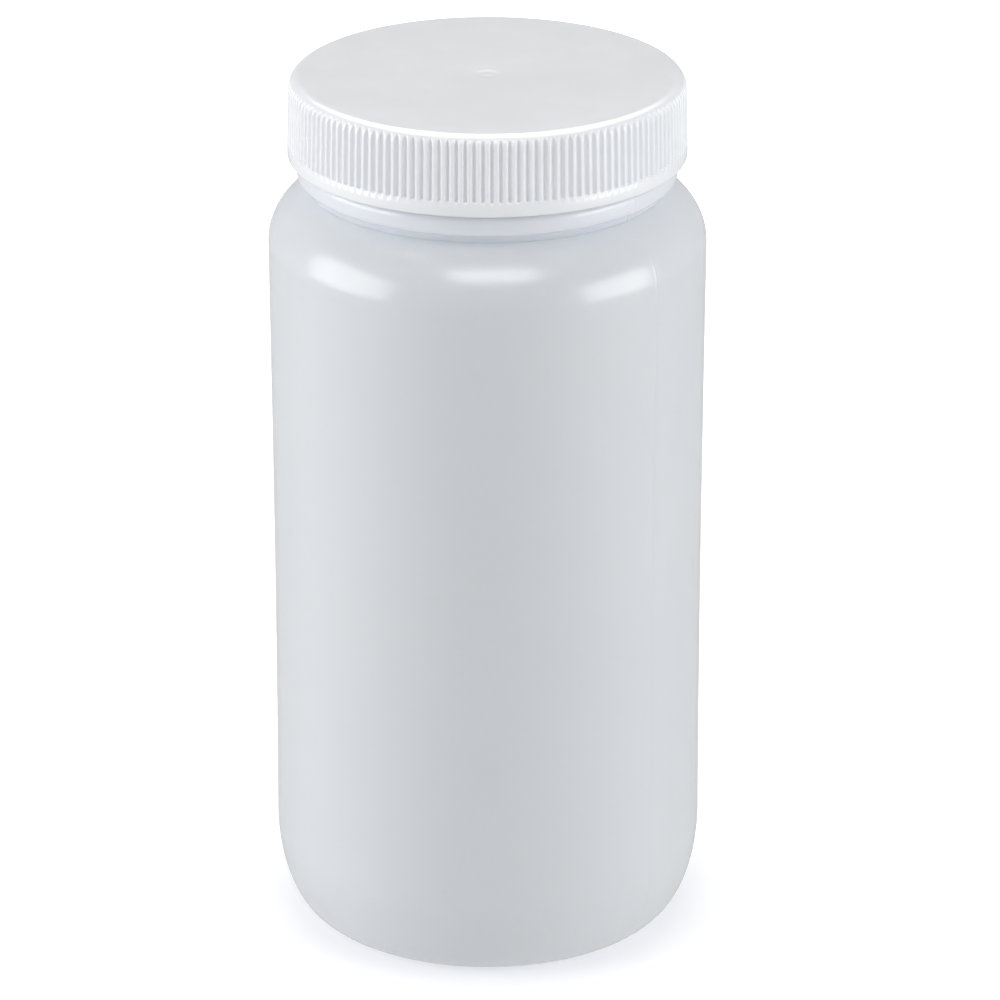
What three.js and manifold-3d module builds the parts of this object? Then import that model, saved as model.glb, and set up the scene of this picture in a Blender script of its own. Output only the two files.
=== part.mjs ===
// A two-litre wide-mouth laboratory bottle with a ribbed screw cap and a foam liner.
//
// The bottle is one blow-moulded shell, the cap is one injection-moulded shell, and the
// liner is one foam disc that lies in the top of the cap and seals the bottle's rim.
// Units are millimetres, +Z is up, and the origin is on the table under the bottle's middle.

import * as THREE from 'three';
import { mergeVertices } from 'three/addons/utils/BufferGeometryUtils.js';
import Module from 'manifold-3d';

const wasm = await Module();
wasm.setup();

const TURN = 2 * Math.PI;

// ---- Driving dimensions -------------------------------------------------------------

const SIDES = 72;               // flats round every turned surface
const ARC_STEPS = 3;            // each arc is drawn in twice this many straight steps

// Bottle body
const BODY_RADIUS = 60;         // at the top of the heel
const BODY_WALL = 2;
const FOOT_RADIUS = 48;         // outer edge of the ring that the bottle stands on
const FOOT_WIDTH = 4;
const PUSH_UP = 4.5;            // how far the middle of the base is raised off the table
const PUSH_UP_RADIUS = 34;      // edge of the raised, level middle
const HEEL_HEIGHT = 28;
const SHOULDER_START = 199;     // top of the wall
const SHOULDER_RADIUS = 60.3;   // widest part of the bottle, at the top of the wall
const SHOULDER_REACH = 26;      // half-axes of the shoulder's elliptical curve
const SHOULDER_RISE = 19.5;
const SHOULDER_ANGLE = THREE.MathUtils.degToRad(55.1);
const WAIST_HEIGHT = 100;       // the wall is drawn in a little towards this height
const WAIST_DRAW = 0.5;

// Pinch-off seam left across the base by the mould
const SEAM_LENGTH = 62;
const SEAM_WIDTH = 1.2;
const SEAM_DROP = 0.5;
const SEAM_BEARING = -41;       // degrees from +X, in the mould's parting plane

// Neck
const BEAD_RADIUS = 52.2;       // the ring under the cap
const BEAD_BOTTOM = 218.4;
const BEAD_TOP = 223.1;
const NECK_ROOT_RADIUS = 48.3;  // wall between the turns of the thread
const MOUTH_RADIUS = 45.8;
const RIM_HEIGHT = 243;
const RIM_CHAMFER = 0.8;

// Screw thread, right-handed, five turns to the inch
const PITCH = 5.08;
const NECK_THREAD = { crest: 49.9, rootWidth: 2.6, crestWidth: 1.2, start: 231.4, turns: 1.5 };
const CAP_THREAD = { crest: 48.9, rootWidth: 2.4, crestWidth: 1.1, start: 228.86, turns: 1.5 };
const THREAD_BITE = 0.4;        // how deep a thread's ridge is sunk into its wall
const RUN_OUT_STEPS = 6;        // steps over which each end of a thread fades away

// Cap
const CAP_BOTTOM = 224;
const CAP_TOP = 246.3;
const CAP_RADIUS = 54.7;
const CAP_DRAFT = 0.4;          // how much narrower the cap is where its top edge begins
const CAP_BORE = 50.6;
const CAP_CEILING = 244.6;
const CAP_EDGE = 3.5;           // radius of the rounded top edge
const BAND_HEIGHT = 4.2;        // smooth band under the ribs
const RIB_COUNT = 2 * SIDES;
const RIB_DEPTH = 0.9;
const GROOVE_SHARE = 0.5;       // part of each rib's pitch that is groove
const GATE_RADIUS = 3.4;        // shallow dimple round the moulding gate
const GATE_DEPTH = 0.2;
const GATE_NUB_RADIUS = 1.6;

// Liner
const LINER_RADIUS = 50.2;
const LINER_BOTTOM = 243.1;
const LINER_TOP = 244.5;

// ---- Shared shape helpers -----------------------------------------------------------

// Turns a profile of radius and height about the Z axis.
function turned(profile) {
  const points = profile.getPoints(ARC_STEPS);
  const distinct = points.filter((point, i) => i === 0 || point.distanceTo(points[i - 1]) > 1e-4);
  return new THREE.LatheGeometry(distinct, SIDES).rotateX(Math.PI / 2);
}

// Makes a manifold solid from a closed three.js geometry.
function toSolid(geometry) {
  const bare = geometry.clone();
  bare.deleteAttribute('normal');
  bare.deleteAttribute('uv');
  const merged = mergeVertices(bare);
  const corners = merged.index.array;
  const triangles = [];
  for (let i = 0; i < corners.length; i += 3) {
    const [a, b, c] = corners.slice(i, i + 3);
    if (a !== b && b !== c && c !== a) triangles.push(a, b, c);
  }
  return new wasm.Manifold(new wasm.Mesh({
    numProp: 3,
    vertProperties: merged.attributes.position.array,
    triVerts: Uint32Array.from(triangles),
  }));
}

function toGeometry(solid) {
  const mesh = solid.getMesh();
  const geometry = new THREE.BufferGeometry();
  geometry.setAttribute('position', new THREE.BufferAttribute(mesh.vertProperties, 3));
  geometry.setIndex(new THREE.BufferAttribute(mesh.triVerts, 1));
  geometry.computeVertexNormals();
  return geometry;
}

// Bends a box into a thread's ridge, climbing anticlockwise round the Z axis.
// A crest inside the wall's radius makes an inner thread.
function threadRidge({ crest, rootWidth, crestWidth, start, turns }, wallRadius) {
  const outward = Math.sign(crest - wallRadius);
  const sunk = wallRadius - outward * THREAD_BITE;
  const steps = Math.round(turns * SIDES);
  const ridge = new THREE.BoxGeometry(1, 1, 1, steps, 1, 1);
  const corner = ridge.attributes.position;
  for (let i = 0; i < corner.count; i += 1) {
    const along = corner.getX(i) + 0.5;
    const across = corner.getY(i) * outward;
    const lift = corner.getZ(i) + 0.5;
    const stepsFromEnd = Math.min(along, 1 - along) * steps;
    const fade = THREE.MathUtils.clamp(stepsFromEnd / RUN_OUT_STEPS, 0.1, 1);
    const radius = sunk + (crest - sunk) * lift * fade;
    const width = THREE.MathUtils.lerp(rootWidth, crestWidth, lift);
    const angle = along * turns * TURN;
    const height = start + along * turns * PITCH + across * width;
    corner.setXYZ(i, radius * Math.cos(angle), radius * Math.sin(angle), height);
  }
  return ridge;
}

// ---- Bottle -------------------------------------------------------------------------

function bottleProfile() {
  const profile = new THREE.Path();
  addOuterWall(profile);
  addRim(profile);
  addInnerWall(profile);
  return profile;
}

function addOuterWall(profile) {
  const footInner = FOOT_RADIUS - FOOT_WIDTH;
  profile.moveTo(0, PUSH_UP);
  profile.lineTo(PUSH_UP_RADIUS, PUSH_UP);
  profile.quadraticCurveTo(footInner - BODY_WALL, PUSH_UP, footInner, 0);
  profile.lineTo(FOOT_RADIUS, 0);
  profile.absellipse(FOOT_RADIUS, HEEL_HEIGHT, BODY_RADIUS - FOOT_RADIUS, HEEL_HEIGHT,
    -TURN / 4, 0, false);
  profile.quadraticCurveTo(BODY_RADIUS - WAIST_DRAW, WAIST_HEIGHT, SHOULDER_RADIUS, SHOULDER_START);
  profile.absellipse(SHOULDER_RADIUS - SHOULDER_REACH, SHOULDER_START,
    SHOULDER_REACH, SHOULDER_RISE, 0, SHOULDER_ANGLE, false);
}

function addRim(profile) {
  profile.lineTo(BEAD_RADIUS, BEAD_BOTTOM);
  profile.lineTo(BEAD_RADIUS, BEAD_TOP);
  profile.lineTo(NECK_ROOT_RADIUS, BEAD_TOP + 0.8);
  profile.lineTo(NECK_ROOT_RADIUS, RIM_HEIGHT - RIM_CHAMFER);
  profile.lineTo(NECK_ROOT_RADIUS - RIM_CHAMFER, RIM_HEIGHT);
  profile.lineTo(MOUTH_RADIUS, RIM_HEIGHT);
}

function addInnerWall(profile) {
  const bodyBore = BODY_RADIUS - BODY_WALL;
  const reach = SHOULDER_REACH - BODY_WALL;
  const rise = SHOULDER_RISE - BODY_WALL;
  const shoulderCentre = SHOULDER_RADIUS - SHOULDER_REACH;
  const mouthAngle = Math.acos((MOUTH_RADIUS - shoulderCentre) / reach);
  const footInner = FOOT_RADIUS - FOOT_WIDTH;
  profile.absellipse(shoulderCentre, SHOULDER_START, reach, rise, mouthAngle, 0, true);
  profile.quadraticCurveTo(bodyBore - WAIST_DRAW, WAIST_HEIGHT, bodyBore, HEEL_HEIGHT);
  profile.absellipse(FOOT_RADIUS, HEEL_HEIGHT, bodyBore - FOOT_RADIUS, HEEL_HEIGHT - BODY_WALL,
    0, -TURN / 4, true);
  profile.lineTo(footInner + BODY_WALL / 2, BODY_WALL);
  profile.quadraticCurveTo(footInner, PUSH_UP + BODY_WALL, PUSH_UP_RADIUS, PUSH_UP + BODY_WALL);
  profile.lineTo(0, PUSH_UP + BODY_WALL);
}

// The seam is a low bar that hangs from the level middle of the base.
function pinchOffSeam() {
  const sunk = BODY_WALL / 2;
  const bar = new THREE.BoxGeometry(SEAM_LENGTH, SEAM_WIDTH, SEAM_DROP + sunk);
  bar.rotateZ(THREE.MathUtils.degToRad(SEAM_BEARING));
  return bar.translate(0, 0, PUSH_UP + (sunk - SEAM_DROP) / 2);
}

function bottleGeometry() {
  const shell = toSolid(turned(bottleProfile()));
  const thread = toSolid(threadRidge(NECK_THREAD, NECK_ROOT_RADIUS));
  return toGeometry(shell.add(thread).add(toSolid(pinchOffSeam())));
}

// ---- Cap ----------------------------------------------------------------------------

function capProfile() {
  const edgeRadius = CAP_RADIUS - CAP_DRAFT;
  const profile = new THREE.Path();
  profile.moveTo(0, CAP_CEILING);
  profile.lineTo(CAP_BORE, CAP_CEILING);
  profile.lineTo(CAP_BORE, CAP_BOTTOM);
  profile.lineTo(CAP_RADIUS, CAP_BOTTOM);
  profile.lineTo(CAP_RADIUS, CAP_BOTTOM + BAND_HEIGHT);
  profile.absarc(edgeRadius - CAP_EDGE, CAP_TOP - CAP_EDGE, CAP_EDGE, 0, TURN / 4, false);
  profile.lineTo(GATE_RADIUS, CAP_TOP);
  profile.lineTo(GATE_RADIUS - GATE_DEPTH, CAP_TOP - GATE_DEPTH);
  profile.lineTo(GATE_NUB_RADIUS, CAP_TOP - GATE_DEPTH);
  profile.lineTo(0, CAP_TOP - GATE_DEPTH / 3);
  return profile;
}

// A ring with a toothed bore. Cut from the cap, it leaves one groove between every two
// ribs, and each groove runs out where the cap's rounded top edge falls below its floor.
function grooveCutter() {
  const clear = CAP_RADIUS + 0.5;
  const floor = CAP_RADIUS - CAP_DRAFT - RIB_DEPTH;
  const ribStep = TURN / RIB_COUNT;
  const halfGroove = ribStep * GROOVE_SHARE / 2 * (clear - floor) / RIB_DEPTH;
  const corners = [];
  for (let i = 0; i < RIB_COUNT; i += 1) {
    const middle = (i + 0.5) * ribStep;
    for (const [radius, offset] of [[clear, -halfGroove], [floor, 0], [clear, halfGroove]]) {
      const angle = middle + offset;
      corners.push(new THREE.Vector2(radius * Math.cos(angle), radius * Math.sin(angle)));
    }
  }
  const ring = new THREE.Shape().absarc(0, 0, clear + 2, 0, TURN, false);
  ring.holes.push(new THREE.Path(corners));
  const height = CAP_TOP - CAP_BOTTOM;
  const cutter = new THREE.ExtrudeGeometry(ring, { depth: height, bevelEnabled: false });
  return cutter.translate(0, 0, CAP_BOTTOM + BAND_HEIGHT);
}

function capGeometry() {
  const shell = toSolid(turned(capProfile()));
  const thread = toSolid(threadRidge(CAP_THREAD, CAP_BORE));
  return toGeometry(shell.subtract(toSolid(grooveCutter())).add(thread));
}

// ---- Liner --------------------------------------------------------------------------

function linerGeometry() {
  const profile = new THREE.Path();
  profile.moveTo(0, LINER_BOTTOM);
  profile.lineTo(LINER_RADIUS, LINER_BOTTOM);
  profile.lineTo(LINER_RADIUS, LINER_TOP);
  profile.lineTo(0, LINER_TOP);
  return turned(profile);
}

// ---- Assembly -----------------------------------------------------------------------

function piece(name, geometry, color, roughness) {
  const material = new THREE.MeshStandardMaterial({ color, roughness, metalness: 0 });
  const mesh = new THREE.Mesh(geometry, material);
  mesh.name = name;
  return mesh;
}

const labBottle = new THREE.Group();
labBottle.add(piece('bottle', bottleGeometry(), 0xd3d7dd, 0.4));
labBottle.add(piece('cap', capGeometry(), 0xf2f3f5, 0.35));
labBottle.add(piece('liner', linerGeometry(), 0xf7f7f2, 0.7));

export default labBottle;
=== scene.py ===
"""A two-litre wide-mouth laboratory bottle with a ribbed screw cap and a foam liner.

The file is laid out as an add-on: sizes and finishes are properties, each moulded piece and
the studio have an operator, and main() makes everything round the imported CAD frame.
Lengths are metres. The bottle stands on the XY plane, its axis is Z and its front faces -Y.
"""

import math

import bpy
from bpy.props import FloatProperty, FloatVectorProperty, IntProperty, PointerProperty
from mathutils import Euler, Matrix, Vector


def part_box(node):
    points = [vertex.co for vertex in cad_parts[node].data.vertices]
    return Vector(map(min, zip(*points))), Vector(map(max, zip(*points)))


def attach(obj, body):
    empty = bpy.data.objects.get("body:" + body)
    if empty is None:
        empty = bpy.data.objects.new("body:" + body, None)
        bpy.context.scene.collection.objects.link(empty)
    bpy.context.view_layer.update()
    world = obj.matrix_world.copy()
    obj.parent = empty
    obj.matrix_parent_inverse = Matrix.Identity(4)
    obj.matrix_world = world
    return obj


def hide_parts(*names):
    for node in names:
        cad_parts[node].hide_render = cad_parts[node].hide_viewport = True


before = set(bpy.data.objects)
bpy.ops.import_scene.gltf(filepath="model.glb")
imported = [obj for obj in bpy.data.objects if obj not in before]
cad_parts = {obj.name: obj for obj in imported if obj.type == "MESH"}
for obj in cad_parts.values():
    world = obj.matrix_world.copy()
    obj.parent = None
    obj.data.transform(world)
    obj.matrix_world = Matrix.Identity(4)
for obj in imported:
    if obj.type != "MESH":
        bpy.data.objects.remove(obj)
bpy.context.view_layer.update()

bl_info = {
    "name": "Wide-mouth laboratory bottle",
    "version": (1, 0, 0),
    "blender": (4, 5, 0),
    "location": "3D View > Sidebar > Lab Bottle",
    "description": "Makes a translucent plastic bottle with a ribbed screw cap and a liner",
    "category": "Object",
}

MM = 0.001
TURN = 2 * math.pi
QUARTER = TURN / 4

BOTTLE_LOW, BOTTLE_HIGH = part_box("bottle")
CAP_LOW, CAP_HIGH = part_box("cap")
LINER_LOW, LINER_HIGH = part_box("liner")


# ---- Sizes and finishes that a user can change ------------------------------------------


def length(name, description, default):
    """A length property in metres."""
    return FloatProperty(
        name=name, description=description, default=default, min=0, unit="LENGTH", precision=5
    )


def angle(name, description, degrees):
    """An angle property."""
    return FloatProperty(
        name=name, description=description, default=math.radians(degrees), subtype="ANGLE"
    )


def colour(name, description, default):
    """A colour property."""
    return FloatVectorProperty(
        name=name, description=description, default=default, subtype="COLOR", min=0, max=1
    )


def gloss(name, description, default):
    """A roughness property."""
    return FloatProperty(
        name=name, description=description, default=default, min=0, max=1, subtype="FACTOR"
    )


class BottleSizes(bpy.types.PropertyGroup):
    """Sizes of the blow-moulded bottle."""

    body_radius: length("Body radius", "Outside radius at the top of the heel", 60 * MM)
    waist_height: length("Waist height", "Height of the wall curve's corner", 100 * MM)
    waist_draw: length("Waist draw", "How far in the wall curve's corner lies", 0.5 * MM)
    rim_height: length("Rim height", "Height of the neck's rim", BOTTLE_HIGH.z)
    wall: length("Wall", "Thickness of the moulded wall", 2 * MM)
    foot_radius: length("Foot radius", "Outer edge of the ring it stands on", 48 * MM)
    foot_width: length("Foot width", "Width of the ring it stands on", 4 * MM)
    push_up: length("Push-up", "How far the middle of the base is raised", 4.5 * MM)
    heel_height: length("Heel height", "Height of the rounded heel", 28 * MM)
    shoulder_start: length("Shoulder start", "Top of the wall", 199 * MM)
    shoulder_radius: length("Shoulder radius", "Widest part, above the wall", BOTTLE_HIGH.x)
    shoulder_reach: length("Shoulder reach", "Inward half-axis of the shoulder", 26 * MM)
    shoulder_rise: length("Shoulder rise", "Upward half-axis of the shoulder", 19.5 * MM)
    shoulder_angle: angle("Shoulder angle", "Where the shoulder's ellipse ends at the neck", 55.1)
    bead_radius: length("Bead radius", "Outside radius of the ring under the cap", 52.2 * MM)
    bead_low: length("Bead bottom", "Height of the bead's lower edge", 218.4 * MM)
    bead_high: length("Bead top", "Height of the bead's upper edge", 223.1 * MM)
    neck_radius: length("Neck radius", "Neck wall between the turns of thread", 48.3 * MM)
    mouth_radius: length("Mouth radius", "Inside radius of the neck", 45.8 * MM)
    parting_angle: angle("Parting angle", "Bearing of the mould's parting line from +X", -41)
    parting_height: length("Parting height", "How far the parting line stands out", 0.1 * MM)
    seam_length: length("Seam length", "Length of the pinch-off seam under the base", 64 * MM)
    seam_drop: length("Seam drop", "How far the seam hangs under the base", 0.5 * MM)
    unevenness: length("Unevenness", "Depth of the hollows in the wall", 0.12 * MM)
    columns: IntProperty(name="Columns", description="Faces round the bottle", default=432)


class CapSizes(bpy.types.PropertyGroup):
    """Sizes of the injection-moulded cap."""

    radius: length("Radius", "Outside radius of the smooth band", CAP_HIGH.x)
    draft: length("Draft", "How much narrower the cap is at its top edge", 0.4 * MM)
    bore: length("Bore", "Inside radius of the skirt", 50.6 * MM)
    ceiling: length("Ceiling", "Height of the top's underside", 244.6 * MM)
    edge: length("Edge", "Radius of the rounded top edge", 3.5 * MM)
    band: length("Band", "Height of the smooth band under the ribs", 4.2 * MM)
    rib_depth: length("Rib depth", "How far the ribs stand out of the grooves", 0.9 * MM)
    ribs: IntProperty(name="Ribs", description="Number of grip ribs", default=144)
    ledge: length("Ledge", "How far below the band's top the grooves begin", 0.3 * MM)
    gate_radius: length("Gate radius", "Radius of the dimple round the gate", 3.4 * MM)
    gate_depth: length("Gate depth", "Depth of the dimple round the gate", 0.14 * MM)


class LinerSizes(bpy.types.PropertyGroup):
    """Sizes of the foam disc."""

    radius: length("Radius", "Outside radius", LINER_HIGH.x)
    edge: length("Edge", "Radius of the rounded rim", 0.2 * MM)
    dent: length("Dent", "Depth of the ring that the bottle's rim has pressed", 0.12 * MM)
    dent_inner: length("Dent inner", "Inner radius of the pressed ring", 45.6 * MM)
    dent_outer: length("Dent outer", "Outer radius of the pressed ring", 47.9 * MM)
    columns: IntProperty(name="Columns", description="Faces round the liner", default=180)


class ThreadSizes(bpy.types.PropertyGroup):
    """Sizes of the screw thread that the neck and the cap share."""

    pitch: length("Pitch", "Rise of the thread in one turn", 5.08 * MM)
    turns: FloatProperty(name="Turns", description="Length of each thread", default=1.5)
    neck_start: length("Neck start", "Height of the neck thread's lower end", 231.4 * MM)
    cap_start: length("Cap start", "Height of the cap thread's lower end", 228.86 * MM)
    neck_depth: length("Neck depth", "How far the neck thread stands out", 1.6 * MM)
    cap_depth: length("Cap depth", "How far the cap thread stands in", 1.7 * MM)


class Finishes(bpy.types.PropertyGroup):
    """Colours and gloss of the three plastics."""

    bottle: colour("Bottle", "Natural polyethylene", (0.828, 0.862, 0.94))
    # Neck colour: a greyer, less blue tint that stands partly for the thicker plastic and partly
    # for painted shade under the cap.
    neck: colour("Neck", "The same plastic where it is thicker", (0.843, 0.862, 0.912))
    cap: colour("Cap", "White polypropylene", (0.935, 0.955, 0.985))
    liner: colour("Liner", "White foam sheet", (0.92, 0.915, 0.89))
    bottle_gloss: gloss("Bottle roughness", "Mean roughness of the bottle", 0.24)
    cap_gloss: gloss("Cap roughness", "Mean roughness of the cap", 0.24)


# ---- Outlines ---------------------------------------------------------------------------

PUSH_UP_BEND = 10 * MM  # width of the slope from the foot ring up to the pushed-up base
GROOVE_STEP = 0.1 * MM  # a groove reaches its full depth in three of these steps


class Outline:
    """Points of radius and height, in the order that a finger follows the moulded surface."""

    def __init__(self, radius, height):
        self.points = [(radius, height)]
        self.marks = {}

    def line(self, radius, height, steps=1):
        """A straight stretch in equal steps."""
        last_radius, last_height = self.points[-1]
        for i in range(1, steps + 1):
            share = i / steps
            self.points.append((
                last_radius + (radius - last_radius) * share,
                last_height + (height - last_height) * share,
            ))

    def arc(self, centre, half_axes, start, end, steps):
        """A stretch of an ellipse, from one angle to another."""
        for i in range(steps + 1):
            turned = start + (end - start) * i / steps
            radius = centre[0] + half_axes[0] * math.cos(turned)
            height = centre[1] + half_axes[1] * math.sin(turned)
            if math.dist(self.points[-1], (radius, height)) > 0.01 * MM:
                self.points.append((radius, height))

    def bend(self, corner, end, steps):
        """A smooth turn that leaves for a corner and arrives at end."""
        start = self.points[-1]
        for i in range(1, steps + 1):
            t = i / steps
            weights = ((1 - t) ** 2, 2 * t * (1 - t), t ** 2)
            self.points.append(tuple(
                sum(w * p[axis] for w, p in zip(weights, (start, corner, end)))
                for axis in (0, 1)
            ))

    def mark(self, name):
        """Begins or ends a named stretch, such as the part of a wall that carries a thread."""
        self.marks.setdefault(name, []).append(len(self.points) - 1)

    def to_mesh(self, name):
        """A line of vertices in the XZ plane, with each marked stretch as an attribute."""
        mesh = bpy.data.meshes.new(name)
        corners = [(radius, 0, height) for radius, height in self.points]
        edges = [(i, i + 1) for i in range(len(corners) - 1)]
        mesh.from_pydata(corners, edges, [])
        for stretch, (first, last) in self.marks.items():
            values = [1.0 if first <= i <= last else 0.0 for i in range(len(corners))]
            mesh.attributes.new(stretch, "FLOAT", "POINT").data.foreach_set("value", values)
        return mesh


def bottle_outline(sizes):
    """From the middle of the base up the outside, over the rim and down the inside."""
    foot_inner = sizes.foot_radius - sizes.foot_width
    outline = Outline(0, sizes.push_up)
    outline.mark("underside")
    outline.line(foot_inner - PUSH_UP_BEND, sizes.push_up, 8)
    outline.mark("underside")
    outline.bend((foot_inner - 2 * MM, sizes.push_up), (foot_inner, 0.6 * MM), 8)
    outline.bend((foot_inner + 0.3 * MM, 0), (foot_inner + 1 * MM, 0), 3)
    outline.line(sizes.foot_radius, 0, 2)
    outline.mark("outside")
    add_body_wall(outline, sizes)
    add_bead(outline, sizes)
    outline.mark("outside")
    add_neck_finish(outline, sizes)
    add_inside(outline, sizes)
    return outline


def add_body_wall(outline, sizes):
    """The rounded heel, the slightly drawn-in wall and the rounded shoulder."""
    heel = (sizes.body_radius - sizes.foot_radius, sizes.heel_height)
    outline.arc((sizes.foot_radius, sizes.heel_height), heel, -QUARTER, 0, 22)
    waist = (sizes.body_radius - sizes.waist_draw, sizes.waist_height)
    outline.bend(waist, (sizes.shoulder_radius, sizes.shoulder_start), 20)
    shoulder = (sizes.shoulder_reach, sizes.shoulder_rise)
    centre = (sizes.shoulder_radius - sizes.shoulder_reach, sizes.shoulder_start)
    outline.arc(centre, shoulder, 0, sizes.shoulder_angle, 20)


def add_bead(outline, sizes):
    """The tight hollow over the shoulder and the ring under the cap."""
    radius, low, high = sizes.bead_radius, sizes.bead_low, sizes.bead_high
    outline.line(radius - 2.5 * MM, low - 1.6 * MM, 2)
    outline.line(radius - 0.6 * MM, low - 0.5 * MM, 2)
    outline.bend((radius, low), (radius, low + 0.8 * MM), 4)
    outline.line(radius, high - 1.7 * MM, 3)
    outline.bend((radius, high), (radius - 1.8 * MM, high + 0.1 * MM), 5)
    outline.line(sizes.neck_radius + 0.8 * MM, high + 0.6 * MM, 3)


def add_neck_finish(outline, sizes):
    """The threaded wall of the neck and its rounded rim."""
    radius, root, top = sizes.neck_radius, sizes.bead_high, sizes.rim_height
    outer_lip = 0.8 * MM
    inner_lip = outer_lip / 2
    inner_centre = (sizes.mouth_radius + inner_lip, top - inner_lip)
    outline.bend((radius, root + 0.7 * MM), (radius, root + 1.6 * MM), 4)
    outline.mark("threaded")
    outline.line(radius, top - outer_lip, 54)
    outline.mark("threaded")
    outline.arc((radius - outer_lip, top - outer_lip), (outer_lip, outer_lip), 0, QUARTER, 5)
    outline.line(inner_centre[0], top, 2)
    outline.arc(inner_centre, (-inner_lip, inner_lip), QUARTER, 0, 4)


def add_inside(outline, sizes):
    """The bore of the neck, the inside of the shoulder and wall, and the floor."""
    bore = sizes.body_radius - sizes.wall
    reach = sizes.shoulder_reach - sizes.wall
    rise = sizes.shoulder_rise - sizes.wall
    centre = (sizes.shoulder_radius - sizes.shoulder_reach, sizes.shoulder_start)
    start = math.acos((sizes.mouth_radius + 0.6 * MM - centre[0]) / reach)
    top = centre[1] + rise * math.sin(start)
    outline.line(sizes.mouth_radius, top + 1.4 * MM, 6)
    corner = (sizes.mouth_radius, top + 0.3 * MM)
    outline.bend(corner, (centre[0] + reach * math.cos(start), top), 4)
    outline.arc(centre, (reach, rise), start, 0, 14)
    outline.bend((bore - sizes.waist_draw, sizes.waist_height), (bore, sizes.heel_height), 10)
    heel = (bore - sizes.foot_radius, sizes.heel_height - sizes.wall)
    outline.arc((sizes.foot_radius, sizes.heel_height), heel, 0, -QUARTER, 14)
    foot_inner = sizes.foot_radius - sizes.foot_width
    floor = sizes.push_up + sizes.wall
    outline.line(foot_inner + sizes.wall / 2, sizes.wall)
    outline.bend((foot_inner, floor), (foot_inner - PUSH_UP_BEND, floor), 6)
    outline.line(0, floor, 3)


def band_top(sizes):
    """Height at which the grooves begin."""
    return CAP_LOW.z + sizes.band - sizes.ledge


def cap_outline(sizes):
    """From the middle of the ceiling down the bore, round the skirt and over the top."""
    low = CAP_LOW.z
    lip = 0.5 * MM
    outline = Outline(0, sizes.ceiling)
    outline.line(sizes.bore, sizes.ceiling, 2)
    outline.line(sizes.bore, low + 15.6 * MM)
    outline.mark("threaded")
    outline.line(sizes.bore, low + 2.6 * MM, 22)
    outline.mark("threaded")
    outline.line(sizes.bore, low + 1.2 * MM)
    outline.bend((sizes.bore, low), (sizes.bore + 1.2 * MM, low), 3)
    outline.line(sizes.radius - lip, low)
    outline.arc((sizes.radius - lip, low + lip), (lip, lip), -QUARTER, 0, 5)
    outline.line(sizes.radius, band_top(sizes), 2)
    outline.mark("ribbed")
    edge_centre = (sizes.radius - sizes.draft - sizes.edge, CAP_HIGH.z - sizes.edge)
    outline.line(sizes.radius, band_top(sizes) + 4 * GROOVE_STEP, 4)
    outline.line(edge_centre[0] + sizes.edge, edge_centre[1], 3)
    outline.arc(edge_centre, (sizes.edge, sizes.edge), 0, QUARTER, 12)
    outline.mark("ribbed")
    outline.line(sizes.gate_radius + 0.25 * MM, CAP_HIGH.z, 3)
    add_gate(outline, sizes)
    return outline


def add_gate(outline, sizes):
    """The shallow dimple in the middle of the top and the stub that the gate left in it."""
    radius = sizes.gate_radius
    floor = CAP_HIGH.z - sizes.gate_depth
    stub_radius = radius * 0.47
    stub_top = floor + sizes.gate_depth / 3
    outline.bend((radius, CAP_HIGH.z), (radius - 0.8 * MM, floor), 3)
    outline.line(stub_radius + 0.3 * MM, floor)
    outline.bend((stub_radius, floor), (stub_radius - 0.6 * MM, stub_top), 3)
    outline.line(0, stub_top)


def liner_outline(sizes):
    """A flat disc with the shallow ring that the bottle's rim has pressed into it."""
    low, high = LINER_LOW.z, LINER_HIGH.z
    edge, dent = sizes.edge, sizes.dent
    edge_radius = sizes.radius - edge
    outline = Outline(0, low)
    outline.line(sizes.dent_inner - 0.5 * MM, low, 6)
    outline.bend((sizes.dent_inner, low), (sizes.dent_inner, low + dent), 3)
    outline.line(sizes.dent_outer, low + dent, 3)
    outline.bend((sizes.dent_outer, low), (sizes.dent_outer + 0.5 * MM, low), 3)
    outline.line(edge_radius, low)
    outline.arc((edge_radius, low + edge), (edge, edge), -QUARTER, 0, 3)
    outline.arc((edge_radius, high - edge), (edge, edge), 0, QUARTER, 3)
    outline.line(0, high, 6)
    return outline


# ---- Geometry node trees ----------------------------------------------------------------

CRISP_ANGLE = math.radians(70)  # faces that meet more sharply than this are not blended


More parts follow.
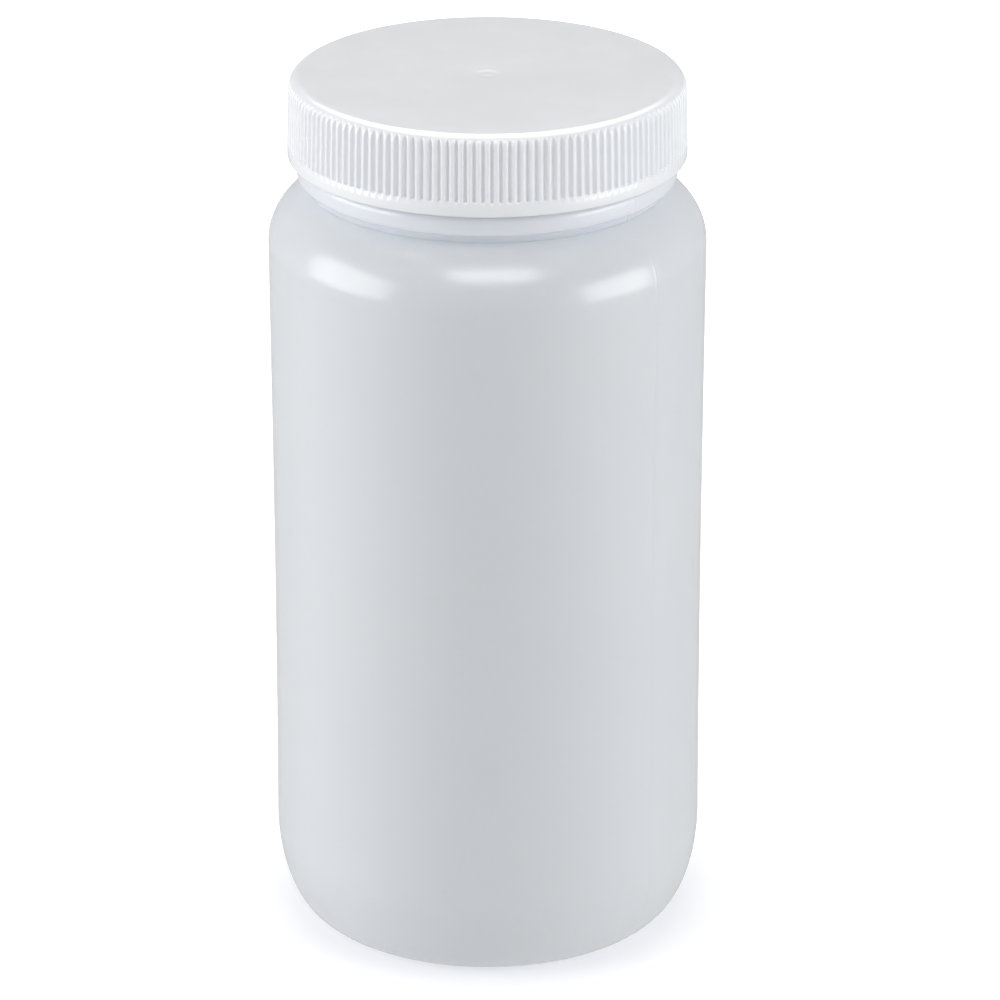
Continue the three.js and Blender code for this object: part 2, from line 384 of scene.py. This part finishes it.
class GeometryTree:
    """A geometry node tree while it is being built."""

    SOCKETS = {float: "NodeSocketFloat", int: "NodeSocketInt"}

    def __init__(self, name, inputs):
        self.tree = bpy.data.node_groups.new(name, "GeometryNodeTree")
        face = self.tree.interface
        face.new_socket("Geometry", in_out="INPUT", socket_type="NodeSocketGeometry")
        for label, value in inputs.items():
            socket = face.new_socket(label, in_out="INPUT", socket_type=self.SOCKETS[type(value)])
            socket.default_value = value
        face.new_socket("Material", in_out="INPUT", socket_type="NodeSocketMaterial")
        face.new_socket("Geometry", in_out="OUTPUT", socket_type="NodeSocketGeometry")
        self.inputs = self.tree.nodes.new("NodeGroupInput").outputs
        self.output = self.tree.nodes.new("NodeGroupOutput").inputs[0]

    def feed(self, socket, value):
        """Links a socket, or sets a constant."""
        if isinstance(value, bpy.types.NodeSocket):
            self.tree.links.new(value, socket)
        else:
            socket.default_value = value

    def node(self, kind, values=None, **settings):
        """A node with its settings, and its inputs by name."""
        node = self.tree.nodes.new(kind)
        for key, value in settings.items():
            setattr(node, key, value)
        for key, value in (values or {}).items():
            self.feed(node.inputs[key], value)
        return node

    def math(self, operation, *terms):
        """The result of a Math node."""
        node = self.node("ShaderNodeMath", operation=operation)
        for socket, value in zip(node.inputs, terms):
            self.feed(socket, value)
        return node.outputs[0]

    def ramp(self, value, start, end, low=0.0, high=1.0, smooth=True):
        """Takes value from start..end to low..high, and holds it past each end."""
        kind = "SMOOTHSTEP" if smooth else "LINEAR"
        node = self.node("ShaderNodeMapRange", interpolation_type=kind, clamp=True)
        for socket, term in zip(node.inputs, (value, start, end, low, high)):
            self.feed(socket, term)
        return node.outputs[0]

    def finish(self, mesh):
        """Closes seams and poles, shades all but tight edges smooth, and ends the tree."""
        merged = self.node("GeometryNodeMergeByDistance", {"Geometry": mesh, "Distance": 1e-6})
        smooth = self.node("GeometryNodeSetShadeSmooth", {"Geometry": merged.outputs[0]})
        fold = self.node("GeometryNodeInputMeshEdgeAngle").outputs[0]
        crisp = self.node(
            "GeometryNodeSetShadeSmooth",
            {
                "Geometry": smooth.outputs[0],
                "Selection": self.math("GREATER_THAN", fold, CRISP_ANGLE),
                "Shade Smooth": False,
            },
            domain="EDGE",
        )
        real = self.node("GeometryNodeRealizeInstances", {"Geometry": crisp.outputs[0]})
        done = self.node(
            "GeometryNodeSetMaterial",
            {"Geometry": real.outputs[0], "Material": self.inputs["Material"]},
        )
        self.tree.links.new(done.outputs[0], self.output)
        return self.tree


class Turning:
    """The part of a tree that turns an outline about the Z axis, one grid column an angle.

    Crowding, from 0 to 1, draws the columns towards the seam angle and the angle opposite it.
    """

    def __init__(self, tree, crowding=0.0, seam=0.0):
        self.tree = tree
        outline = tree.inputs["Geometry"]
        size = tree.node("GeometryNodeAttributeDomainSize", {"Geometry": outline})
        rows = size.outputs["Point Count"]
        columns = tree.inputs["Columns"]
        last_row = tree.math("SUBTRACT", rows, 1)
        self.grid = tree.node("GeometryNodeMeshGrid", {
            "Size X": columns,
            "Size Y": last_row,
            "Vertices X": tree.math("ADD", columns, 1),
            "Vertices Y": rows,
        }).outputs["Mesh"]
        position = tree.node("GeometryNodeInputPosition").outputs[0]
        place = tree.node("ShaderNodeSeparateXYZ", {"Vector": position}).outputs
        column = tree.math("ROUND", tree.math("MULTIPLY_ADD", columns, 0.5, place[0]))
        self.row = tree.math("ROUND", tree.math("MULTIPLY_ADD", last_row, 0.5, place[1]))
        even = tree.math("MULTIPLY", tree.math("DIVIDE", column, columns), TURN)
        twice = tree.math("MULTIPLY", tree.math("SUBTRACT", even, seam), 2.0)
        shift = tree.math("MULTIPLY", tree.math("SINE", twice), crowding)
        self.angle = tree.math("MULTIPLY_ADD", shift, -0.5, even)
        point = self.sample(position, "FLOAT_VECTOR")
        outline_place = tree.node("ShaderNodeSeparateXYZ", {"Vector": point}).outputs
        self.radius, self.height = outline_place[0], outline_place[2]

    def sample(self, field, data_type="FLOAT"):
        """A value on the outline's vertex that this row follows."""
        node = self.tree.node("GeometryNodeSampleIndex", data_type=data_type, domain="POINT")
        self.tree.feed(node.inputs["Geometry"], self.tree.inputs["Geometry"])
        self.tree.feed(node.inputs["Value"], field)
        self.tree.feed(node.inputs["Index"], self.row)
        return node.outputs[0]

    def stretch(self, name):
        """1 on the rows of a marked stretch of the outline, 0 elsewhere."""
        mark = self.tree.node(
            "GeometryNodeInputNamedAttribute", {"Name": name}, data_type="FLOAT"
        )
        return self.sample(mark.outputs["Attribute"])

    def thread(self, start):
        """How much of the thread's full height stands here, from 0 to 1."""
        tree = self.tree
        pitch, turns = tree.inputs["Pitch"], tree.inputs["Turns"]
        rise = tree.math("DIVIDE", tree.math("SUBTRACT", self.height, start), pitch)
        turned = tree.math("DIVIDE", self.angle, TURN)
        phase = tree.math("SUBTRACT", rise, turned)
        nearest = tree.math("ROUND", phase)
        off_phase = tree.math("ABSOLUTE", tree.math("SUBTRACT", phase, nearest))
        off_crest = tree.math("MULTIPLY", off_phase, pitch)
        along = tree.math("ADD", turned, nearest)
        from_end = tree.math("MINIMUM", along, tree.math("SUBTRACT", turns, along))
        flank = tree.ramp(off_crest, 0.5 * MM, 1.35 * MM, 1.0, 0.0)
        run_out = tree.ramp(from_end, 0.0, 1 / 12)
        ridge = tree.math("MULTIPLY", flank, run_out)
        return tree.math("MULTIPLY", ridge, self.stretch("threaded"))

    def placed(self, radius, height):
        """The grid moved to these radii and heights."""
        tree = self.tree
        place = tree.node("ShaderNodeCombineXYZ", {
            "X": tree.math("MULTIPLY", radius, tree.math("COSINE", self.angle)),
            "Y": tree.math("MULTIPLY", radius, tree.math("SINE", self.angle)),
            "Z": height,
        })
        moved = tree.node(
            "GeometryNodeSetPosition", {"Geometry": self.grid, "Position": place.outputs[0]}
        )
        return moved.outputs[0]


def bottle_tree():
    """Turns the bottle, with its thread, parting line, pinch-off seam and uneven wall."""
    tree = GeometryTree("Turned bottle", {
        "Columns": 432, "Pitch": 5.08 * MM, "Turns": 1.5, "Thread Start": 231.4 * MM,
        "Thread Depth": 1.6 * MM, "Parting Angle": 0.0, "Parting Height": 0.1 * MM,
        "Seam Length": 64 * MM, "Seam Drop": 0.5 * MM, "Unevenness": 0.12 * MM,
    })
    parting = tree.inputs["Parting Angle"]
    turning = Turning(tree, crowding=0.75, seam=parting)
    ridge = turning.thread(tree.inputs["Thread Start"])
    thread = tree.math("MULTIPLY", ridge, tree.inputs["Thread Depth"])
    outside = turning.stretch("outside")
    bearing = tree.math("SUBTRACT", turning.angle, parting)
    sideways = tree.math("ABSOLUTE", tree.math("SINE", bearing))
    off_parting = tree.math("MULTIPLY", sideways, turning.radius)
    line = tree.ramp(off_parting, 0.05 * MM, 0.45 * MM, 1.0, 0.0)
    line = tree.math("MULTIPLY", line, tree.inputs["Parting Height"])
    hollow = tree.math("MULTIPLY", wall_noise(tree, turning), tree.inputs["Unevenness"])
    change = tree.math("MULTIPLY", tree.math("SUBTRACT", line, hollow), outside)
    radius = tree.math("ADD", tree.math("ADD", turning.radius, change), thread)
    height = tree.math("SUBTRACT", turning.height, pinch_off(tree, turning, off_parting))
    return tree.finish(turning.placed(radius, height))


def wall_noise(tree, turning):
    """Broad, shallow hollows in the wall, from 0 to 1."""
    direction = tree.node("ShaderNodeCombineXYZ", {
        "X": tree.math("COSINE", turning.angle),
        "Y": tree.math("SINE", turning.angle),
        "Z": tree.math("MULTIPLY", turning.height, 9.0),
    })
    noise = tree.node(
        "ShaderNodeTexNoise",
        {"Vector": direction.outputs[0], "Scale": 1.3, "Detail": 1.0},
        noise_dimensions="3D",
    )
    return noise.outputs[0]


def pinch_off(tree, turning, off_parting):
    """How far the pinch-off seam hangs under the level middle of the base."""
    width = tree.ramp(off_parting, 0.35 * MM, 0.8 * MM, 1.0, 0.0)
    seam_end = tree.math("DIVIDE", tree.inputs["Seam Length"], 2)
    full_end = tree.math("SUBTRACT", seam_end, 3 * MM)
    ends = tree.ramp(turning.radius, full_end, seam_end, 1.0, 0.0)
    here = tree.math("MULTIPLY", tree.math("MULTIPLY", turning.stretch("underside"), width), ends)
    return tree.math("MULTIPLY", here, tree.inputs["Seam Drop"])


def cap_tree():
    """Turns the cap, ten columns to a rib, and lets each groove run out over the top edge."""
    tree = GeometryTree("Turned cap", {
        "Columns": 1440, "Ribs": 144, "Rib Depth": 0.9 * MM, "Outer Radius": 54.7 * MM,
        "Draft": 0.4 * MM, "Band Top": 228.0 * MM, "Edge Start": 242.8 * MM,
        "Pitch": 5.08 * MM, "Turns": 1.5, "Thread Start": 228.86 * MM, "Thread Depth": 1.7 * MM,
    })
    turning = Turning(tree)
    ridge = turning.thread(tree.inputs["Thread Start"])
    thread = tree.math("MULTIPLY", ridge, tree.inputs["Thread Depth"])
    radius = tree.math("SUBTRACT", turning.radius, thread)
    floor = tree.math("MINIMUM", radius, groove_floor(tree, turning))
    cut = tree.math("MULTIPLY", tree.math("SUBTRACT", radius, floor), turning.stretch("ribbed"))
    return tree.finish(turning.placed(tree.math("SUBTRACT", radius, cut), turning.height))


def groove_share(tree, turning):
    """1 in a groove, 0 on a rib, with the groove's rounded foot just over the band.

    A groove's flank takes up from 0.1 to 0.34 of a rib's pitch, counted from its middle.
    """
    turned = tree.math("DIVIDE", turning.angle, TURN)
    phase = tree.math("FRACT", tree.math("MULTIPLY", turned, tree.inputs["Ribs"]))
    off_groove = tree.math("ABSOLUTE", tree.math("SUBTRACT", phase, 0.5))
    across = tree.ramp(off_groove, 0.1, 0.34, 1.0, 0.0)
    low = tree.inputs["Band Top"]
    foot = tree.ramp(turning.height, low, tree.math("ADD", low, 3 * GROOVE_STEP))
    return tree.math("MULTIPLY", across, foot)


def groove_floor(tree, turning):
    """Radius of the ribbed wall, which leans in with the draft."""
    lean = tree.ramp(
        turning.height, tree.inputs["Band Top"], tree.inputs["Edge Start"],
        0.0, tree.inputs["Draft"], smooth=False,
    )
    crest = tree.math("SUBTRACT", tree.inputs["Outer Radius"], lean)
    depth = tree.math("MULTIPLY", groove_share(tree, turning), tree.inputs["Rib Depth"])
    return tree.math("SUBTRACT", crest, depth)


def liner_tree():
    """Turns the liner."""
    tree = GeometryTree("Turned liner", {"Columns": 180})
    turning = Turning(tree)
    return tree.finish(turning.placed(turning.radius, turning.height))


def turned_piece(name, outline, tree, inputs, material):
    """An object with the tree's result as its plain mesh."""
    piece = bpy.data.objects.new(name, outline.to_mesh(name + "_outline"))
    bpy.context.scene.collection.objects.link(piece)
    modifier = piece.modifiers.new(tree.name, "NODES")
    modifier.node_group = tree
    for item in tree.interface.items_tree:
        if item.in_out == "INPUT" and item.name in inputs:
            modifier[item.identifier] = inputs[item.name]
        if item.in_out == "INPUT" and item.name == "Material":
            modifier[item.identifier] = material
    graph = bpy.context.evaluated_depsgraph_get()
    mesh = bpy.data.meshes.new_from_object(piece.evaluated_get(graph), depsgraph=graph)
    mesh.name = name
    piece.modifiers.clear()
    piece.data = mesh
    return piece


# ---- Materials --------------------------------------------------------------------------


class Finish:
    """A material while its nodes are being linked."""

    def __init__(self, name, **constants):
        self.material = bpy.data.materials.new(name)
        self.material.use_nodes = True
        self.nodes = self.material.node_tree.nodes
        self.links = self.material.node_tree.links
        self.shader = self.nodes["Principled BSDF"]
        for key, value in constants.items():
            self.shader.inputs[key.replace("_", " ")].default_value = value
        coordinates = self.nodes.new("ShaderNodeTexCoord")
        self.place = coordinates.outputs["Object"]

    def noise(self, scale, detail=2.0, stretch=(1, 1, 1)):
        """Noise with this many features to a metre."""
        mapping = self.nodes.new("ShaderNodeMapping")
        mapping.inputs["Scale"].default_value = stretch
        noise = self.nodes.new("ShaderNodeTexNoise")
        noise.inputs["Scale"].default_value = scale
        noise.inputs["Detail"].default_value = detail
        self.links.new(self.place, mapping.inputs["Vector"])
        self.links.new(mapping.outputs[0], noise.inputs["Vector"])
        return noise.outputs[0]

    def ramp(self, field, start, end, low=0.0, high=1.0):
        """Takes a field from start..end to low..high, and holds it past each end."""
        ramp = self.nodes.new("ShaderNodeMapRange")
        for socket, value in zip(ramp.inputs[1:5], (start, end, low, high)):
            socket.default_value = value
        self.links.new(field, ramp.inputs[0])
        return ramp.outputs[0]

    def spread(self, noise, low=0.0, high=1.0):
        """Takes noise, which mostly lies between 0.3 and 0.7, to a range of values."""
        return self.ramp(noise, 0.3, 0.7, low, high)

    def mix(self, share):
        """A colour mix that goes to the base colour. Its ends are set by the caller."""
        mix = self.nodes.new("ShaderNodeMix")
        mix.data_type = "RGBA"
        self.links.new(share, mix.inputs["Factor"])
        self.links.new(mix.outputs["Result"], self.shader.inputs["Base Color"])
        return mix.inputs

    def colour(self, noise, base, amount):
        """Varies the base colour a little lighter and darker with noise."""
        dark = [channel * (1 - amount) for channel in base]
        light = [min(1.0, channel * (1 + amount)) for channel in base]
        ends = self.mix(self.spread(noise))
        ends["A"].default_value = (*dark, 1)
        ends["B"].default_value = (*light, 1)

    def colour_above(self, start, end, upper):
        """Blends the colour into another one between two heights."""
        lower = self.shader.inputs["Base Color"].links[0].from_socket
        place = self.nodes.new("ShaderNodeSeparateXYZ")
        self.links.new(self.place, place.inputs[0])
        ends = self.mix(self.ramp(place.outputs["Z"], start, end))
        ends["B"].default_value = (*upper, 1)
        self.links.new(lower, ends["A"])

    def roughness(self, field, low, high):
        """Varies the roughness with a field."""
        self.links.new(self.spread(field, low, high), self.shader.inputs["Roughness"])

    def bumps(self, *layers):
        """Layers of bump, each a field and its height in metres."""
        below = None
        for field, height in layers:
            bump = self.nodes.new("ShaderNodeBump")
            bump.inputs["Distance"].default_value = height
            self.links.new(field, bump.inputs["Height"])
            if below:
                self.links.new(below, bump.inputs["Normal"])
            below = bump.outputs[0]
        self.links.new(below, self.shader.inputs["Normal"])


def bottle_plastic(finishes, sizes):
    """Milky natural polyethylene: light soaks in, and the gloss is soft and a little uneven."""
    finish = Finish(
        "bottle_plastic", Subsurface_Weight=1.0, Subsurface_Scale=0.004,
        Subsurface_Radius=(1.1, 1.05, 1.0), Subsurface_Anisotropy=0.6, IOR=1.53,
    )
    finish.colour(finish.noise(18, 3.0), finishes.bottle, 0.012)
    # Painted shade: from just over the shoulder upwards the colour turns greyer and less blue.
    # This stands partly for the thicker plastic and partly for the cap's shade on the bead and
    # neck.
    junction = sizes.bead_low - 3.8 * MM
    finish.colour_above(junction, junction + 2 * MM, finishes.neck)
    mean = finishes.bottle_gloss
    finish.roughness(finish.noise(60, 3.0), mean - 0.03, mean + 0.025)
    finish.bumps(
        (finish.noise(35, 2.0, (1, 1, 0.35)), 0.15 * MM),
        (finish.noise(900, 2.0), 0.006 * MM),
    )
    return finish.material


def cap_plastic(finishes):
    """Opaque white polypropylene with a satin mould finish."""
    finish = Finish(
        "cap_plastic", Subsurface_Weight=0.05, Subsurface_Scale=0.0003,
        Subsurface_Radius=(1.0, 1.0, 1.05), IOR=1.5,
    )
    finish.colour(finish.noise(30, 3.0), finishes.cap, 0.01)
    mean = finishes.cap_gloss
    finish.roughness(finish.noise(120, 3.0), mean - 0.03, mean + 0.025)
    finish.bumps(
        (finish.noise(55, 2.0), 0.05 * MM),
        (finish.noise(1600, 3.0), 0.008 * MM),
    )
    return finish.material


def liner_foam(finishes):
    """Foamed polyethylene sheet: matt, with fine closed cells under its skin."""
    finish = Finish("liner_foam", Subsurface_Weight=0.4, Subsurface_Scale=0.001, IOR=1.45)
    finish.colour(finish.noise(400, 4.0), finishes.liner, 0.03)
    finish.roughness(finish.noise(700, 2.0), 0.55, 0.8)
    finish.bumps((finish.noise(1500, 4.0), 0.05 * MM))
    return finish.material


def floor_paper():
    """White studio paper that glows to a clean white away from the bottle; its glow fades towards
    the foot, which paints a soft shadow round the bottle.
    """
    finish = Finish("floor_paper", Emission_Color=(1, 1, 1, 1))
    finish.colour(finish.noise(3, 2.0), (0.93, 0.93, 0.93), 0.004)
    finish.roughness(finish.noise(40, 2.0), 0.75, 0.9)
    finish.bumps((finish.noise(900, 2.0), 0.02 * MM))
    away = finish.nodes.new("ShaderNodeVectorMath")
    away.operation = "LENGTH"
    finish.links.new(finish.place, away.inputs[0])
    # Painted shadow: the glow is weakest near the middle, which darkens the floor round the
    # bottle's foot.
    glow_with_painted_shadow = finish.ramp(away.outputs["Value"], 55 * MM, 110 * MM, 0.14, 0.69)
    finish.links.new(glow_with_painted_shadow, finish.shader.inputs["Emission Strength"])
    return finish.material


# ---- Studio -----------------------------------------------------------------------------

SHOULDER_HEIGHT = 0.21
CAMERA_DISTANCE = 1.514
CAMERA_HEIGHT = 0.739
CAMERA_PITCH = math.radians(22.2)
CAMERA_YAW = math.radians(-0.13)
LENS = 210.3
SENSOR = 36.0
LIGHT_DISTANCE = 2.0
FLOOR_REACH = 6.0


def make_camera():
    """A long lens that looks down at the bottle from the front."""
    camera = bpy.data.objects.new("camera", bpy.data.cameras.new("camera"))
    camera.data.sensor_width = SENSOR
    camera.data.lens = LENS
    camera.location = (0, -CAMERA_DISTANCE, CAMERA_HEIGHT)
    camera.rotation_euler = Euler((QUARTER - CAMERA_PITCH, 0, CAMERA_YAW))
    bpy.context.scene.collection.objects.link(camera)
    bpy.context.scene.camera = camera


def make_softbox(name, bearing, elevation, spread, level, wash):
    """An area light aimed at the bottle's shoulder. Bearing 0 is in front, 90 is on the right.

    Spread is how wide and how high the light looks from there, in degrees. A wash gives soft
    light and is not mirrored; the others only give shine.
    """
    light = bpy.data.lights.new(name, "AREA")
    light.shape = "RECTANGLE"
    light.size, light.size_y = (
        2 * LIGHT_DISTANCE * math.tan(math.radians(degrees / 2)) for degrees in spread
    )
    light.energy = level * math.pi * light.size * light.size_y
    softbox = bpy.data.objects.new(name, light)
    softbox.visible_diffuse = wash
    softbox.visible_glossy = not wash
    turn, tilt = math.radians(bearing), math.radians(elevation)
    away = Vector((
        math.cos(tilt) * math.sin(turn), -math.cos(tilt) * math.cos(turn), math.sin(tilt)
    ))
    softbox.location = Vector((0, 0, SHOULDER_HEIGHT)) + away * LIGHT_DISTANCE
    softbox.rotation_euler = away.to_track_quat("Z", "Y").to_euler()
    bpy.context.scene.collection.objects.link(softbox)


def make_floor(material):
    """A wide level floor under the bottle."""
    mesh = bpy.data.meshes.new("floor")
    signs = ((-1, -1), (1, -1), (1, 1), (-1, 1))
    corners = [(x * FLOOR_REACH, y * FLOOR_REACH, 0) for x, y in signs]
    mesh.from_pydata(corners, [], [(0, 1, 2, 3)])
    mesh.materials.append(material)
    floor = bpy.data.objects.new("floor", mesh)
    floor.visible_diffuse = False
    floor.visible_glossy = False
    floor.visible_shadow = False
    bpy.context.scene.collection.objects.link(floor)


def make_surroundings(strength):
    """Even white surroundings."""
    world = bpy.data.worlds.new("studio")
    world.use_nodes = True
    background = world.node_tree.nodes["Background"]
    background.inputs["Color"].default_value = (1, 1, 1, 1)
    background.inputs["Strength"].default_value = strength
    bpy.context.scene.world = world


# ---- Operators --------------------------------------------------------------------------


class LABBOTTLE_OT_make_bottle(bpy.types.Operator):
    """Makes the blow-moulded bottle"""

    bl_idname = "labbottle.make_bottle"
    bl_label = "Make bottle"

    def execute(self, context):
        sizes = context.scene.lab_bottle
        thread = context.scene.lab_thread
        inputs = {
            "Columns": sizes.columns, "Pitch": thread.pitch, "Turns": thread.turns,
            "Thread Start": thread.neck_start, "Thread Depth": thread.neck_depth,
            "Parting Angle": sizes.parting_angle, "Parting Height": sizes.parting_height,
            "Seam Length": sizes.seam_length, "Seam Drop": sizes.seam_drop,
            "Unevenness": sizes.unevenness,
        }
        material = bottle_plastic(context.scene.lab_finishes, sizes)
        outline = bottle_outline(sizes)
        piece = turned_piece("bottle_shell", outline, bottle_tree(), inputs, material)
        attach(piece, "bottle")
        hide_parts("bottle")
        return {"FINISHED"}


class LABBOTTLE_OT_make_cap(bpy.types.Operator):
    """Makes the ribbed screw cap"""

    bl_idname = "labbottle.make_cap"
    bl_label = "Make cap"

    def execute(self, context):
        sizes = context.scene.lab_cap
        thread = context.scene.lab_thread
        inputs = {
            "Columns": 10 * sizes.ribs, "Ribs": sizes.ribs, "Rib Depth": sizes.rib_depth,
            "Outer Radius": sizes.radius, "Draft": sizes.draft,
            "Band Top": band_top(sizes), "Edge Start": CAP_HIGH.z - sizes.edge,
            "Pitch": thread.pitch, "Turns": thread.turns,
            "Thread Start": thread.cap_start, "Thread Depth": thread.cap_depth,
        }
        material = cap_plastic(context.scene.lab_finishes)
        piece = turned_piece("cap_shell", cap_outline(sizes), cap_tree(), inputs, material)
        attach(piece, "cap")
        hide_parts("cap")
        return {"FINISHED"}


class LABBOTTLE_OT_make_liner(bpy.types.Operator):
    """Makes the foam liner"""

    bl_idname = "labbottle.make_liner"
    bl_label = "Make liner"

    def execute(self, context):
        sizes = context.scene.lab_liner
        inputs = {"Columns": sizes.columns}
        material = liner_foam(context.scene.lab_finishes)
        piece = turned_piece("liner_disc", liner_outline(sizes), liner_tree(), inputs, material)
        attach(piece, "liner")
        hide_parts("liner")
        return {"FINISHED"}


class LABBOTTLE_OT_make_studio(bpy.types.Operator):
    """Makes the floor, the lights and the camera"""

    bl_idname = "labbottle.make_studio"
    bl_label = "Make studio"

    def execute(self, context):
        context.scene.view_settings.view_transform = "Standard"
        make_camera()
        make_floor(floor_paper())
        make_surroundings(strength=0.55)
        make_softbox("left_shine", -77, 8, (48, 37), 4.5, wash=False)
        make_softbox("right_shine", 70, 2, (42, 32), 4.5, wash=False)
        make_softbox("top_shine", 4, 52, (37, 22), 6.0, wash=False)
        make_softbox("rim_shine", 0, 115, (57, 57), 6.3, wash=False)
        for width in (84, 60, 36):
            make_softbox(f"left_sheen_{width}", -74, -24, (width, 34), 0.34, wash=False)
            make_softbox(f"right_sheen_{width}", 64, -24, (width, 34), 0.24, wash=False)
        make_softbox("left_wash", -80, 12, (38, 38), 3.2, wash=True)
        make_softbox("right_wash", 71, 12, (38, 38), 2.6, wash=True)
        make_softbox("top_wash", 0, 88, (66, 66), 0.2, wash=True)
        make_softbox("floor_wash", 0, -88, (66, 66), 0.5, wash=True)
        return {"FINISHED"}


class LABBOTTLE_PT_panel(bpy.types.Panel):
    """Lists the operators and the sizes in the sidebar"""

    bl_idname = "LABBOTTLE_PT_panel"
    bl_label = "Lab Bottle"
    bl_space_type = "VIEW_3D"
    bl_region_type = "UI"
    bl_category = "Lab Bottle"

    def draw(self, context):
        for operator in OPERATORS:
            self.layout.operator(operator.bl_idname)
        for pointer, group in GROUPS.items():
            box = self.layout.box()
            for name in group.__annotations__:
                box.prop(getattr(context.scene, pointer), name)


OPERATORS = (
    LABBOTTLE_OT_make_bottle,
    LABBOTTLE_OT_make_liner,
    LABBOTTLE_OT_make_cap,
    LABBOTTLE_OT_make_studio,
)
GROUPS = {
    "lab_bottle": BottleSizes,
    "lab_cap": CapSizes,
    "lab_liner": LinerSizes,
    "lab_thread": ThreadSizes,
    "lab_finishes": Finishes,
}


def register():
    for cls in (*GROUPS.values(), *OPERATORS, LABBOTTLE_PT_panel):
        bpy.utils.register_class(cls)
    for pointer, group in GROUPS.items():
        setattr(bpy.types.Scene, pointer, PointerProperty(type=group))


def unregister():
    for pointer in GROUPS:
        delattr(bpy.types.Scene, pointer)
    for cls in (LABBOTTLE_PT_panel, *reversed(OPERATORS), *reversed(GROUPS.values())):
        bpy.utils.unregister_class(cls)


def main():
    register()
    bpy.ops.labbottle.make_bottle()
    bpy.ops.labbottle.make_liner()
    bpy.ops.labbottle.make_cap()
    bpy.ops.labbottle.make_studio()


if __name__ == "__main__":
    main()
